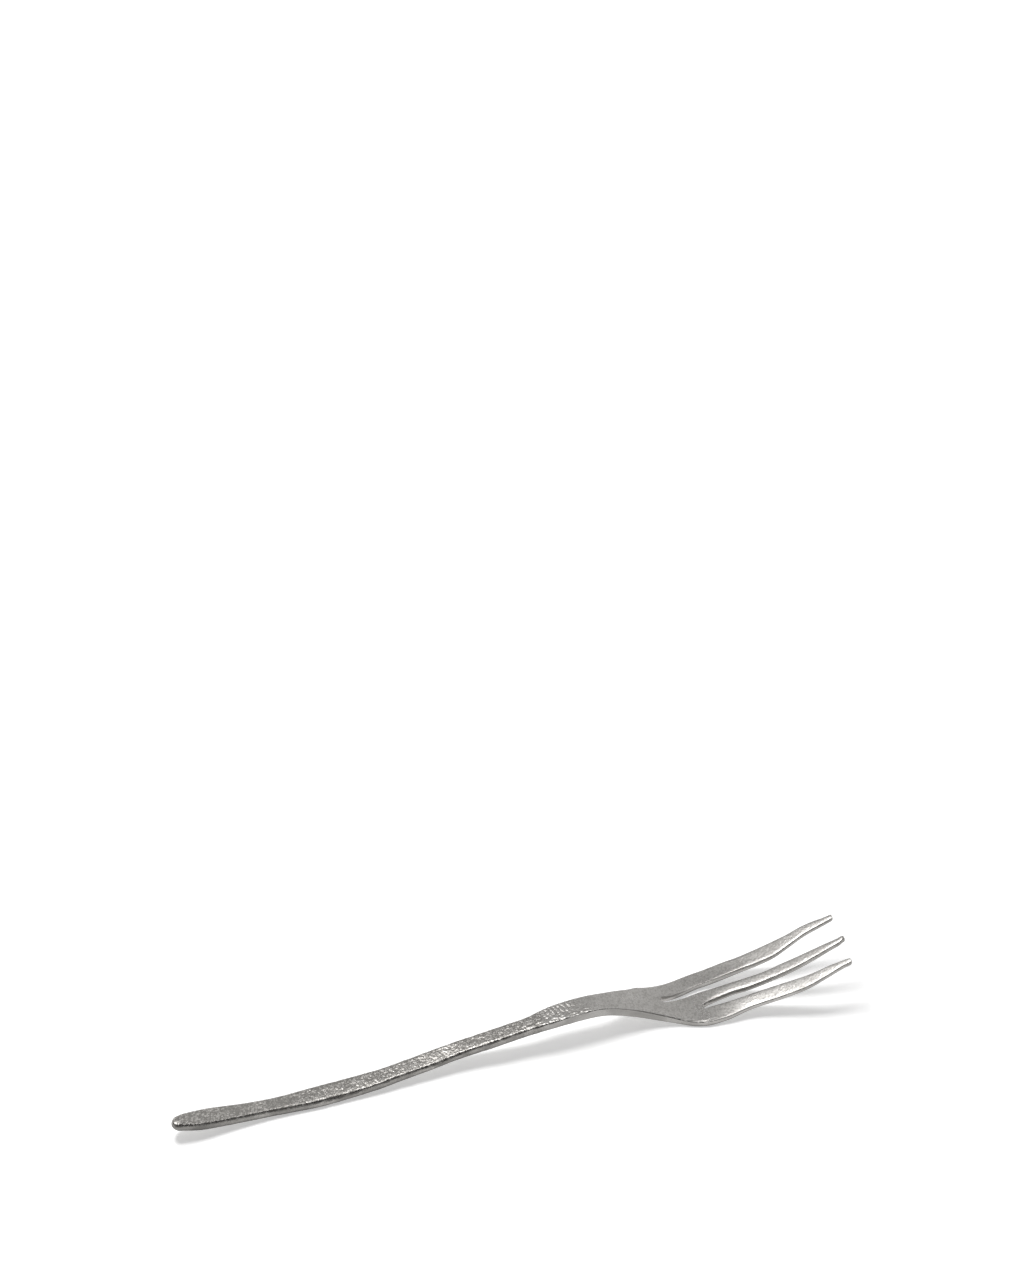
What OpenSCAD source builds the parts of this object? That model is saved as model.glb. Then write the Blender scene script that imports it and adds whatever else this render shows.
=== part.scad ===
// A small three-tined dessert fork, lying on a table with its tines turned up.
// X runs from the handle end to the tips, Y to the left of the tines, and Z is up from the table.
// Stations are distances along X from the handle end. Heights are above the table.

/* [Handle] */
// Length of the handle, from its rounded end to the neck
handle_length = 88; // [80:1:100]
// Width at the very end, before its rounding
tail_width = 3.8; // [3.2:0.1:5]
// Width of the broad place near the handle end
end_width = 4.4; // [3.8:0.1:6]
// Width of the waist behind the broad end
waist_width = 4; // [3.2:0.1:5.5]
// Width of the belly that the handle rests on
belly_width = 5; // [4:0.1:6.5]
// Width of the grip, between the belly and the slim stretch
grip_width = 4.1; // [3.4:0.1:5.5]
// Width of the slim stretch before the neck
slim_width = 3.8; // [3.2:0.1:5]
// Thickness of the handle and the neck
handle_thick = 2.2; // [1.8:0.1:3]
// Distance from the handle end to the broad place
end_station = 10; // [8:1:13]
// Distance from the handle end to the waist
waist_station = 20; // [16:1:24]
// Distance from the handle end to the belly
belly_station = 33; // [28:1:40]
// Distance from the handle end to the middle of the grip
grip_station = 54; // [48:1:58]
// Distance from the handle end to the slim stretch
slim_station = 70; // [64:1:74]
// Height of the middle of the handle end
end_height = 4.1; // [2.5:0.1:6]
// Slope of the handle end, as rise over run towards the tines
end_slope = -0.21; // [-0.3:0.01:-0.1]
// Height of the middle of the bar at the slim stretch
slim_height = 4; // [3:0.1:5]
// Slope of the bar at the slim stretch
slim_slope = 0.13; // [0.08:0.01:0.18]
// Sideways sway of the handle, to the right at the belly
handle_sway = 0.7; // [0:0.1:1.5]
// Sideways sway of the slim stretch, to the left
slim_sway = 0.5; // [0:0.1:1]
// Length of the rounding of the handle end
end_round = 2.4; // [1.5:0.1:3.5]
// Rounding of the edges along the bar
bar_round = 0.55; // [0.3:0.05:0.8]

/* [Neck] */
// Length of the neck, from the handle to the head
neck_length = 24; // [20:1:30]
// Width of the neck at its crown
neck_width = 5.2; // [4.4:0.1:6.5]
// Distance from the handle to the neck's crown
crown_station = 11; // [8:1:14]
// Height of the middle of the bar at the neck's crown
crown_height = 7.1; // [5.5:0.1:9]
// Sideways sway of the neck, to the left at its crown
neck_sway = 1.5; // [0:0.1:2]
// Distance from the slim end of the handle to the neck, over which the bar widens
swell_run = 4; // [2:1:6]

/* [Head] */
// Length of the head, from the neck to the tines
head_length = 16; // [15:1:20]
// Width of the head where it leaves the neck
shoulder_width = 7.8; // [6.5:0.1:9]
// Sideways sway of the head where it leaves the neck, to the left
shoulder_sway = 1.2; // [0:0.1:2]
// Thickness of the head where it leaves the neck
shoulder_thick = 1.9; // [1.6:0.1:2.6]
// Width of the head at the bottom of the bowl
bowl_width = 14.2; // [13.5:0.1:16]
// Width of the head where the tines start
fan_width = 14.8; // [14:0.1:16.5]
// Distance from the neck to the bottom of the bowl
bowl_station = 12; // [11:0.5:13]
// Thickness of the head at the bottom of the bowl
bowl_thick = 1.45; // [1.2:0.05:1.9]
// How far the two resting places are ground flat
rest_cut = 0.06; // [0.04:0.01:0.15]

/* [Slots] */
// Width of a slot at its rounded root
slot_root = 1.4; // [1:0.1:1.5]
// Width of the left slot where the tines start
left_slot_start = 2.5; // [2:0.1:2.8]
// Width of the right slot where the tines start
right_slot_start = 1.7; // [1.4:0.1:2]
// Distance from the neck to the root of the left slot
left_root_station = 4.8; // [4.4:0.2:8]
// Distance from the neck to the root of the right slot
right_root_station = 13.4; // [12:0.1:14]
// Sideways place of the left slot's root
left_root_y = 1.5; // [1:0.1:1.8]
// Sideways place of the left slot where the tines start
left_slot_y = 2.4; // [2:0.1:2.8]
// Sideways place of the right slot
right_slot_y = -2.8; // [-3.2:0.1:-2.5]

/* [Tines] */
// Length of the tines, from the head to the tips
tine_length = 32; // [28:1:38]
// Height of the middle of the metal at the tips
tip_height = 12; // [9:0.1:14]
// Slope of the tips, as rise over run
tip_slope = 0.38; // [0.34:0.01:0.45]
// Width of a tine at its tip
tip_width = 1.3; // [1.1:0.1:1.6]
// Distance between the middles of neighbouring tips
tip_pitch = 6.7; // [6:0.1:7.2]
// Sideways lean of the tips, to the right
tip_lean = 1; // [0:0.1:1.5]
// Thickness at the tips
tip_thick = 1.2; // [1:0.1:1.4]
// How late the tines narrow towards the tip: 1 is an even taper
tine_taper = 2; // [1.4:0.1:2.6]
// Length of the rounding of a tip
tip_round = 0.4; // [0.2:0.05:0.5]
// Rounding of the edges of the head and the tines
tine_round = 0.35; // [0.2:0.05:0.45]

/* [Fineness] */
// Distance between cross-sections
section_step = 1.6; // [1.2:0.1:3]
// Facets on each rounded edge
edge_facets = 4; // [3:1:5]

/* [Hidden] */
$fn = 32;

// Stations of the joints between the regions
neck_start = handle_length;
head_start = neck_start + neck_length;
tine_start = head_start + head_length;
tip_end = tine_start + tine_length;
crown = neck_start + crown_station;
bowl = head_start + bowl_station;
left_root = head_start + left_root_station;
right_root = head_start + right_root_station;

// The resting places dip this far under the table before they are ground flat
belly_height = handle_thick / 2 - rest_cut;
bowl_height = bowl_thick / 2 - rest_cut;

// Middle of the metal in side view: station, height and slope
spine_knots = [
    [0, end_height, end_slope],
    [belly_station, belly_height, 0],
    [slim_station, slim_height, slim_slope],
    [crown, crown_height, 0],
    [bowl, bowl_height, 0],
    [tip_end, tip_height, tip_slope]
];

// Middle of the bar in plan: station and sideways place
sway_knots = [
    [0, -handle_sway / 2],
    [belly_station, -handle_sway],
    [slim_station, slim_sway],
    [crown, neck_sway],
    [head_start, shoulder_sway],
    [bowl, 0],
    [tine_start, 0]
];

// Width of the bar and the head in plan: station and width
width_knots = [
    [0, tail_width],
    [end_station, end_width],
    [waist_station, waist_width],
    [belly_station, belly_width],
    [grip_station, grip_width],
    [slim_station, slim_width],
    [neck_start - swell_run, slim_width],
    [crown, neck_width],
    [head_start, shoulder_width],
    [bowl, bowl_width],
    [tine_start, fan_width]
];

// Thickness of the metal: station and thickness
thick_knots = [
    [0, handle_thick],
    [crown, handle_thick],
    [head_start, shoulder_thick],
    [bowl, bowl_thick],
    [tip_end, tip_thick]
];

// Rounding of the edges: station and radius
round_knots = [
    [crown, bar_round],
    [bowl, tine_round]
];

// One cubic stretch between two heights and two slopes, at t from 0 to 1 over a run h
function cubic(t, h, z0, m0, z1, m1) =
    (1 + 2 * t) * (1 - t) * (1 - t) * z0 + t * (1 - t) * (1 - t) * h * m0
    + t * t * (3 - 2 * t) * z1 - t * t * (1 - t) * h * m1;

// Number of the stretch of a list of knots that holds x
function stretch(x, knots, i = 0) =
    i >= len(knots) - 2 || x <= knots[i + 1][0] ? i : stretch(x, knots, i + 1);

// Mean slope of a list of knots at knot i
function knot_slope(knots, i) =
    let (a = max(i - 1, 0), b = min(i + 1, len(knots) - 1))
    (knots[b][1] - knots[a][1]) / (knots[b][0] - knots[a][0]);

// Smooth curve through knots of station and value
function flowing(x, knots) =
    let (i = stretch(x, knots), h = knots[i + 1][0] - knots[i][0], t = (x - knots[i][0]) / h)
    cubic(t, h, knots[i][1], knots[i][2], knots[i + 1][1], knots[i + 1][2]);

// The same through knots with no slope of their own
function with_slopes(knots) =
    [for (i = [0 : len(knots) - 1]) [knots[i][0], knots[i][1], knot_slope(knots, i)]];

sway_curve = with_slopes(sway_knots);
width_curve = with_slopes(width_knots);
thick_curve = with_slopes(thick_knots);

// Step over which a slope is measured
slope_step = 0.1;

function spine(x) = flowing(x, spine_knots);
function spine_slope(x) = (spine(x + slope_step / 2) - spine(x - slope_step / 2)) / slope_step;
function thick(x) = flowing(x, thick_curve);
function round_off(x) = lookup(x, round_knots);

// Outer edges of the bar and the head
function left_edge(x) = flowing(x, sway_curve) + flowing(x, width_curve) / 2;
function right_edge(x) = flowing(x, sway_curve) - flowing(x, width_curve) / 2;

// A share from 0 to 1 that starts and ends gently
function eased(u) = u * u * (3 - 2 * u);

// Share of the way along the tines, from 0 at the head to 1 at the tips
function along(x) = (x - tine_start) / tine_length;

// Edges of the three tines where they leave the head
tine_starts = [
    [right_edge(tine_start), right_slot_y - right_slot_start / 2],
    [right_slot_y + right_slot_start / 2, left_slot_y - left_slot_start / 2],
    [left_slot_y + left_slot_start / 2, left_edge(tine_start)]
];

// Middle and width of tine i, counted from the right
function tine_middle(i, x) =
    let (
        from = (tine_starts[i][0] + tine_starts[i][1]) / 2,
        to = (i - 1) * tip_pitch - tip_lean
    )
    from + (to - from) * eased(along(x));
function tine_width(i, x) =
    let (from = tine_starts[i][1] - tine_starts[i][0])
    from - (from - tip_width) * pow(max(along(x), 0), tine_taper);

// Places of the part in its own frame: half the length, and the middle of its width
mid_x = tip_end / 2;
tine_row = stations(tine_start, tip_end - tip_round);
left_reach = max([for (x = tine_row) tine_middle(2, x) + tine_width(2, x) / 2]);
right_reach = min([for (x = tine_row) tine_middle(0, x) - tine_width(0, x) / 2]);
mid_y = (left_reach + right_reach) / 2;

// Stations from one place to another, both included
function stations(from, to) =
    let (n = ceil((to - from) / section_step))
    [for (i = [0 : n]) from + (to - from) * i / n];

// Cross-sections in a rounded end, and the smallest share of the full size that they shrink to
nose_steps = 6;
nose_least = 0.12;

// Distances from a rounded end, closing up towards it
function nose_row(length) =
    [for (i = [0 : nose_steps - 1]) length * (1 - cos(90 * i / nose_steps))];

// Share of the full size at a distance x from a rounded end
function nose(x, length) =
    x >= length ? 1 : max(nose_least, sqrt(1 - pow(1 - x / length, 2)));

// Share of half the width or thickness that the rounding of an edge may take
round_share = 0.9;

// A rounded cross-section: its middle, width, thickness and rounding
function section(x, y, z, w, t, r) =
    let (
        rr = min(r, w / 2 * round_share, t / 2 * round_share),
        a = w / 2 - rr,
        b = t / 2 - rr
    )
    [for (corner = [0 : 3], k = [0 : edge_facets])
        let (
            angle = 90 * (corner + k / edge_facets),
            side = corner == 0 || corner == 3 ? 1 : -1,
            up = corner < 2 ? 1 : -1
        )
        [x, y + side * a + rr * cos(angle), z + up * b + rr * sin(angle)]];

// A solid through a row of cross-sections
module loft(rows) {
    n = len(rows[0]);
    last = len(rows) - 1;
    sides = [for (i = [0 : last - 1], j = [0 : n - 1])
        [i * n + j, i * n + (j + 1) % n, (i + 1) * n + (j + 1) % n, (i + 1) * n + j]];
    back = [[for (j = [0 : n - 1]) n - 1 - j]];
    front = [[for (j = [0 : n - 1]) last * n + j]];
    polyhedron([for (row = rows) each row], concat(sides, back, front), convexity = 6);
}

// Thickness measured upright, so that the metal keeps its thickness where it slopes
function upright(x) = thick(x) * sqrt(1 + pow(spine_slope(x), 2));

// One cross-section of the bar or the head
function bar_section(x) =
    section(
        x - mid_x,
        (left_edge(x) + right_edge(x)) / 2 - mid_y,
        spine(x),
        (left_edge(x) - right_edge(x)) * nose(x, end_round),
        upright(x) * nose(x, end_round / 2),
        round_off(x)
    );

// One cross-section of tine i
function tine_section(i, x) =
    let (shrink = (1 + nose(tip_end - x, tip_round)) / 2)
    section(
        x - mid_x,
        tine_middle(i, x) - mid_y,
        spine(x),
        tine_width(i, x) * shrink,
        upright(x) * shrink,
        tine_round
    );

// Space under the table, which grinds the resting places flat
module under_table() {
    depth = 20;
    translate([-tip_end, -tip_end, -depth])
        cube([2 * tip_end, 2 * tip_end, depth]);
}

// A slot from its rounded root to where the tines start, as a cutter through the head
module slot(root, root_y, start_y, start_width) {
    reach = 0.5;
    height = 30;
    middle = root + slot_root / 2;
    row = stations(middle, tine_start);
    function share(x) = eased((x - middle) / (tine_start - middle));
    function y(x) = root_y + (start_y - root_y) * share(x);
    function half(x) = (slot_root + (start_width - slot_root) * share(x)) / 2;
    left_side = [for (x = row) [x, y(x) + half(x)]];
    right_side = [for (i = [len(row) - 1 : -1 : 0]) [row[i], y(row[i]) - half(row[i])]];
    mouth = [for (side = [1, -1]) [tine_start + reach, start_y + side * start_width / 2]];
    translate([-mid_x, -mid_y, -height / 2])
        linear_extrude(height) {
            translate([middle, root_y])
                circle(d = slot_root);
            polygon(concat(left_side, mouth, right_side));
        }
}

module tine(i) {
    tip_row = [for (k = [nose_steps - 1 : -1 : 0]) tip_end - nose_row(tip_round)[k]];
    color("silver")
        loft([for (x = concat(tine_row, tip_row)) tine_section(i, x)]);
}

module handle() {
    color("darkgray")
        difference() {
            loft([for (x = concat(nose_row(end_round), stations(end_round, neck_start))) bar_section(x)]);
            under_table();
        }
}

module neck() {
    color("silver")
        loft([for (x = stations(neck_start, head_start)) bar_section(x)]);
}

module head() {
    color("silver")
        difference() {
            loft([for (x = stations(head_start, tine_start)) bar_section(x)]);
            slot(left_root, left_root_y, left_slot_y, left_slot_start);
            slot(right_root, right_slot_y, right_slot_y, right_slot_start);
            under_table();
        }
}

module right_tine() {
    tine(0);
}

module middle_tine() {
    tine(1);
}

module left_tine() {
    tine(2);
}

handle();
neck();
head();
left_tine();
middle_tine();
right_tine();
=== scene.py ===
"""Looks of a one-piece dessert fork in satin steel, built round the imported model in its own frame."""

import logging
import math
from dataclasses import dataclass, field, fields
from enum import Enum
from typing import Any, Optional, Sequence, Union

import bpy
import numpy as np
from bpy.types import Material, Mesh, Node, NodeSocket, NodeTree, Object
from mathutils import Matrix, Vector
from mathutils.geometry import delaunay_2d_cdt
from mathutils.kdtree import KDTree


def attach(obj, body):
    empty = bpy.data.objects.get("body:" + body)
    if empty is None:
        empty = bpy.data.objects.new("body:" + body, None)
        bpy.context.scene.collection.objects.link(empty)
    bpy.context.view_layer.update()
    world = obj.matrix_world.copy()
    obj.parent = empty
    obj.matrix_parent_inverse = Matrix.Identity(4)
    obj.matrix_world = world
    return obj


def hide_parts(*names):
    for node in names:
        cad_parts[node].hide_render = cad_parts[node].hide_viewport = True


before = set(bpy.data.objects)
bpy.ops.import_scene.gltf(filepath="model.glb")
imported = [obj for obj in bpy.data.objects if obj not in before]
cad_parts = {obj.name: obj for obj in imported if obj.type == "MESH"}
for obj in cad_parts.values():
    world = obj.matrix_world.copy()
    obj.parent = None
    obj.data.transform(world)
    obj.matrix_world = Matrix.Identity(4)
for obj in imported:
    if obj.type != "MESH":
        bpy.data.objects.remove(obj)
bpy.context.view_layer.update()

Array = np.ndarray
Pairs = tuple[tuple[float, float], ...]
Knots = tuple[tuple[float, float, float], ...]
Number = Union["Wire", float]

LOG = logging.getLogger("dessert_fork")
MM = 0.001
ON_CUT = 1e-6
MERGED = 1e-7
FILL_INSIDE = 1
NOISE_MIDDLE, NOISE_SWING = 0.5, 4.0
FLOAT, COLOUR, PLACE, SHAPE, FINISH = (
    f"NodeSocket{kind}" for kind in ("Float", "Color", "Vector", "Geometry", "Material"))
# Attributes that the finishes read: the fine relief, the depth in from the outline, and the share of painted
# shade on the sides.
READ_BY_FINISH = ("relief", "edge", "flank")


class Region(Enum):
    """The regions of the fork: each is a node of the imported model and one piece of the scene."""

    HANDLE = "handle"
    NECK = "neck"
    HEAD = "head"
    LEFT_TINE = "left_tine"
    MIDDLE_TINE = "middle_tine"
    RIGHT_TINE = "right_tine"


ORDER = tuple(Region)


class Draw(Enum):
    """The forge's random patterns, by how far the seed of each is from the first one's."""

    GRAIN = 0.0
    PITS = 3.0
    LUMPS = 5.0
    HAMMER = 9.0
    BENDS = 11.0
    SATIN = 13.0


class Read(Enum):
    """What a zone's ramps measure, on the fork or in the room."""

    STATION = "millimetres from the handle's end"
    ACROSS = "share of the way to the left"
    ASIDE = "share of the way to either side"
    EDGE = "millimetres in from the outline"
    UP = "upward share of the outward direction"
    FLAT = "upward or downward share of it"
    DEPTH = "share of the way to the back of the room"
    HEIGHT = "share of the way to its ceiling"


class Ray(Enum):
    """Kinds of light rays."""

    CAMERA = "Is Camera Ray"
    GLOSSY = "Is Glossy Ray"
    TRANSMISSION = "Is Transmission Ray"


def eased(share: Array) -> Array:
    """Makes a share from 0 to 1 start and end gently."""
    return share * share * (3 - 2 * share)


def titled(name: str) -> str:
    """Turns a field's name into a socket's."""
    return name.replace("_", " ").title()


@dataclass(frozen=True)
class FlowingLine:
    """A smooth line through knots of station, value and slope, in millimetres, level beyond its ends."""

    knots: Knots

    @classmethod
    def through(cls, points: Pairs, last_slope: Optional[float] = None) -> "FlowingLine":
        """Lays a line through points that have no slopes of their own.

        Args:
            points: Stations and values, in order along the fork.
            last_slope: Slope at the last point, where it isn't that of the last stretch.

        Returns:
            The line, with the mean slope of its neighbours at each point.
        """
        slopes = []
        for i in range(len(points)):
            before, after = points[max(i - 1, 0)], points[min(i + 1, len(points) - 1)]
            slopes.append((after[1] - before[1]) / (after[0] - before[0]))
        if last_slope is not None:
            slopes[-1] = last_slope
        return cls(tuple((x, value, slope) for (x, value), slope in zip(points, slopes)))

    def at(self, station: Array) -> Array:
        """Gives the line's value at stations.

        Args:
            station: Distances from the handle's end.

        Returns:
            The values there.
        """
        x = np.asarray(station, float)
        knots = np.array(self.knots)
        i = np.clip(np.searchsorted(knots[:, 0], x) - 1, 0, len(knots) - 2)
        x0, v0, m0 = np.moveaxis(knots[i], -1, 0)
        x1, v1, m1 = np.moveaxis(knots[i + 1], -1, 0)
        run = x1 - x0
        t = np.clip((x - x0) / run, 0, 1)
        left = (1 + 2 * t) * (1 - t) ** 2 * v0 + t * (1 - t) ** 2 * run * m0
        return left + t * t * (3 - 2 * t) * v1 - t * t * (1 - t) * run * m1


@dataclass
class Handle:
    """The flat bar that the hand holds, from its rounded end to the neck."""

    end_round: float = 1.5
    thickness: float = 2.2
    widths: Pairs = ((0, 3.1), (1.5, 3.45), (3, 3.95), (5, 4.45), (7, 4.72), (10, 4.8), (18, 4.15),
                     (26, 4.3), (33, 5.0), (40, 4.95), (48, 4.45), (54, 4.15), (62, 4.3), (68, 4.05),
                     (76, 4.1), (84, 4.1))
    sways: Pairs = ((0, -0.68), (1.5, -0.5), (3, -0.42), (5, -0.43), (7, -0.4), (10, -0.32), (18, -0.5),
                    (26, -0.6), (33, -0.63), (40, -0.63), (48, -0.55), (54, -0.2), (62, 0.25), (68, 0.6),
                    (76, 0.6), (84, 0.65))
    heights: Knots = ((0, 4.1, -0.21), (33, 1.04, 0.0), (70, 4.0, 0.13))


@dataclass
class Neck:
    """The arched stretch between the handle and the head."""

    start: float = 88.0
    crown: float = 99.0
    crown_height: float = 7.1
    widths: Pairs = ((91, 5.1), (97, 5.25), (103, 5.35), (108, 6.5))
    sways: Pairs = ((91, 1.0), (97, 1.05), (103, 1.0), (108, 1.0))
    knuckle: float = 112.0
    knuckle_height: float = 0.25
    knuckle_reach: float = 1.5


@dataclass
class Slot:
    """A gap between two tines, from its round root in the head to where the tines start."""

    root: float
    root_y: float
    root_width: float
    mouth_y: float
    mouth_width: float
    mouth: float = 128.0

    def side(self, station: Array, sign: int) -> Array:
        """Gives one side of the slot.

        Args:
            station: Stations between the middle of the root and the mouth.
            sign: 1 for the left side and -1 for the right.

        Returns:
            Sideways places of that side.
        """
        middle = self.root + self.root_width / 2
        share = eased((station - middle) / (self.mouth - middle))
        centre = self.root_y + (self.mouth_y - self.root_y) * share
        return centre + sign * (self.root_width + (self.mouth_width - self.root_width) * share) / 2


@dataclass
class Head:
    """The shallow bowl that widens from the neck and splits into the tines."""

    start: float = 112.0
    length: float = 16.0
    widths: Pairs = ((112, 7.85), (118, 10.3), (124, 13.85))
    sways: Pairs = ((112, 0.95), (118, 0.6), (124, 0.15))
    shoulder_thickness: float = 1.9
    bowl: float = 124.0
    bowl_height: float = 0.665
    bowl_thickness: float = 1.6
    fan_width: float = 14.8
    left_slot: Slot = field(default_factory=lambda: Slot(117.0, 1.25, 1.3, 2.7, 1.9))
    right_slot: Slot = field(default_factory=lambda: Slot(126.0, -2.55, 1.1, -2.37, 1.33))


@dataclass
class Tine:
    """One slender tine, tapering to a blunt rounded tip, with the small swells of its hand-worked edges."""

    region: Region
    place: int
    start_right: float
    start_left: float
    right_swell: Pairs
    left_swell: Pairs
    crowns: Pairs
    crown_reach: float
    leans: Pairs
    draft: float
    rounds: Pairs = ((0, 0.08), (124, 0.1), (128, 0.25), (145, 0.28), (161, 0.25))
    start: float = 128.0
    length: float = 32.0
    waist: float = 136.0
    waist_thickness: float = 1.55
    tip_width: float = 1.3
    tip_pitch: float = 6.7
    tip_lean: float = 1.0
    tip_height: float = 12.0
    tip_slope: float = 0.38
    tip_thickness: float = 1.2
    tip_round: float = 0.45
    tip_blunt: float = 3.0
    swell_fade: float = 2.0
    taper: float = 2.0
    narrowest: float = 0.1

    def edge(self, station: Array, sign: int) -> Array:
        """Gives one edge of the tine.

        Args:
            station: Stations from the head to the tip.
            sign: 1 for the left edge and -1 for the right.

        Returns:
            Sideways places of that edge.
        """
        u = np.clip((station - self.start) / self.length, 0, 1)
        from_y = (self.start_left + self.start_right) / 2
        from_width = self.start_left - self.start_right
        middle = from_y + (self.place * self.tip_pitch - self.tip_lean - from_y) * eased(u)
        width = from_width - (from_width - self.tip_width) * u ** self.taper
        over = station - self.start - self.length
        past = np.clip(over / self.tip_round + 1, 0, 1)
        swells = ((self.start, 0.0), *(self.left_swell if sign > 0 else self.right_swell))
        swell = FlowingLine.through(swells, 0.0).at(station)
        end = 1 - eased(np.clip(over / self.swell_fade + 1, 0, 1))
        return middle + sign * width / 2 * (1 - past ** self.tip_blunt) ** (1 / self.tip_blunt) + swell * end

    def leaning(self, plan: Array) -> Array:
        """Gives how far the tine's face has fallen towards its right edge.

        Args:
            plan: Plan points on the tine.

        Returns:
            The falls, from none at the left edge to the whole lean at the right one.
        """
        right, left = self.edge(plan[:, 0], -1), self.edge(plan[:, 0], 1)
        share = np.clip((left - plan[:, 1]) / np.maximum(left - right, self.narrowest), 0, 1)
        return FlowingLine.through(self.leans).at(plan[:, 0]) * share ** 2

    def holds(self, plan: Array) -> Array:
        """Tells which plan points are on the tine.

        Args:
            plan: Plan points.

        Returns:
            True for each point on it.
        """
        x, y = plan[:, 0], plan[:, 1]
        along = (x >= self.start) & (x < self.start + self.length)
        return along & (y > self.edge(x, -1)) & (y < self.edge(x, 1))

    def loop(self, row: Array) -> Array:
        """Lays the tine's outline out along its right edge, round the tip and back."""
        right, left = (np.stack([row, self.edge(row, sign)], 1) for sign in (-1, 1))
        return np.concatenate([right, left[::-1][1:]])


@dataclass
class Blank:
    """The fork as one flat piece of metal before it is bent: plan outline, rounded edges and two faces.

    Its tables give the edges' radii, how far the faces fall at the edges and to the right, how steeply that
    lean starts, how far the near side slopes in, and where the tines' own values take over.
    """

    handle: Handle
    neck: Neck
    head: Head
    tines: tuple[Tine, ...]
    top_rounds: Pairs = ((0, 0.7), (15, 0.75), (26, 0.95), (38, 0.95), (46, 0.72), (60, 0.75), (84, 0.7),
                         (90, 0.4), (95, 0.22), (101, 0.18), (107, 0.15), (111, 0.3), (119, 0.3),
                         (126, 0.25), (145, 0.28), (157, 0.25))
    under_rounds: Pairs = ((0, 0.25), (8, 0.4), (90, 0.4), (110, 0.3), (126, 0.3), (157, 0.25))
    crown_drops: Pairs = ((0, 0.6), (1.5, 0.35), (3, 0.12), (5, 0.04), (8, 0.03), (20, 0.02), (38, 0.05),
                          (46, 0.05), (56, 0.02), (72, 0.03), (80, 0.03), (104, 0.03), (116, 0.03),
                          (122, 0.06))
    crown_reaches: Pairs = ((0, 1.9), (3, 1.9), (8, 1.3), (52, 1.2), (100, 1.0), (122, 1.0))
    leans: Pairs = ((0, 0.0), (33, 0.0), (38, 0.2), (41, 0.23), (45, 0.16), (50, 0.03), (55, 0.02),
                    (59, 0.25), (61.5, 0.3), (65, 0.27), (70, 0.0), (76, -0.1), (83, -0.14), (90, -0.13),
                    (98, -0.08), (106, 0.0), (128, 0.0))
    lean_powers: Knots = ((47, 4.0, 0.0), (55, 1.4, 0.0))
    drafts: Pairs = ((0, 0.0), (87, 0.0), (94, 0.25), (100, 0.42), (108, 0.5), (115, 0.35), (121, 0.08),
                     (128, 0.05))
    tine_shares: Knots = ((122, 0.0, 0.0), (130, 1.0, 0.0))
    spacing: float = 0.145
    fine_step: float = 0.02
    fewest_steps: int = 8
    root_steps: int = 60
    edge_steps: int = 6
    side_rows: int = 5
    side_swell: float = 0.05
    keep_clear: float = 0.6
    inner_margin: float = 0.3
    spare: float = 1.0
    under_share: float = 0.5

    def __post_init__(self) -> None:
        """Lays the lines that the outline, the thickness and the edges follow."""
        handle, neck, head, tine = self.handle, self.neck, self.head, self.tines[0]
        tine_start = head.start + head.length
        self.cuts = (neck.start, head.start, tine_start)
        self.tip = max(one.start + one.length for one in self.tines)
        self.width = FlowingLine.through(
            (*handle.widths, *neck.widths, *head.widths, (tine_start, head.fan_width)), 0.0)
        self.sway = FlowingLine.through((*handle.sways, *neck.sways, *head.sways, (tine_start, 0.0)), 0.0)
        self.thickness = FlowingLine.through(
            ((0, handle.thickness), (neck.crown, handle.thickness), (head.start, head.shoulder_thickness),
             (head.bowl, head.bowl_thickness), (tine.waist, tine.waist_thickness),
             (self.tip, tine.tip_thickness)))
        self.top_rounding, self.under_rounding, self.crown_drop, self.crown_reach = (
            FlowingLine.through((*pairs, (self.tip, pairs[-1][1])))
            for pairs in (self.top_rounds, self.under_rounds, self.crown_drops, self.crown_reaches))
        self.lean, self.draft = FlowingLine.through(self.leans), FlowingLine.through(self.drafts)
        self.lean_power, self.tine_share = FlowingLine(self.lean_powers), FlowingLine(self.tine_shares)

    def bar_edge(self, station: Array, sign: int) -> Array:
        """Gives the outer edge of the bar and the head.

        Args:
            station: Stations from the handle's end to the tines.
            sign: 1 for the left edge and -1 for the right.

        Returns:
            Sideways places of that edge.
        """
        nose = np.clip(1 - station / self.handle.end_round, 0, 1)
        edge = self.sway.at(station) + sign * self.width.at(station) / 2 * np.sqrt(1 - nose ** 2)
        off = (station - self.neck.knuckle) / self.neck.knuckle_reach
        return edge + max(sign, 0) * self.neck.knuckle_height * np.exp(-off ** 2)

    def nearest_tine(self, plan: Array) -> Array:
        """Gives the number of the tine that runs nearest to each plan point.

        Args:
            plan: Plan points.

        Returns:
            Numbers from the right tine to the left one.
        """
        x, y = plan[:, 0], plan[:, 1]
        gaps = [np.abs(y - (tine.edge(x, 1) + tine.edge(x, -1)) / 2) for tine in self.tines]
        return np.argmin(np.stack(gaps), 0)

    def rounding(self, plan: Array) -> Array:
        """Gives the radius of the rounded top edge.

        Args:
            plan: Plan points of the outline.

        Returns:
            The radii, which are small round the roots of the slots.
        """
        x, y = plan[:, 0], plan[:, 1]
        on_bar = x < self.cuts[2]
        low = np.where(on_bar, self.bar_edge(x, -1), self.tines[0].edge(x, -1)) + self.inner_margin
        high = np.where(on_bar, self.bar_edge(x, 1), self.tines[-1].edge(x, 1)) - self.inner_margin
        inner = (x > self.head.start) & (y > low) & (y < high)
        rounds = [FlowingLine.through(tine.rounds).at(x) for tine in self.tines]
        return np.where(inner, np.choose(self.nearest_tine(plan), rounds), self.top_rounding.at(x))

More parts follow.
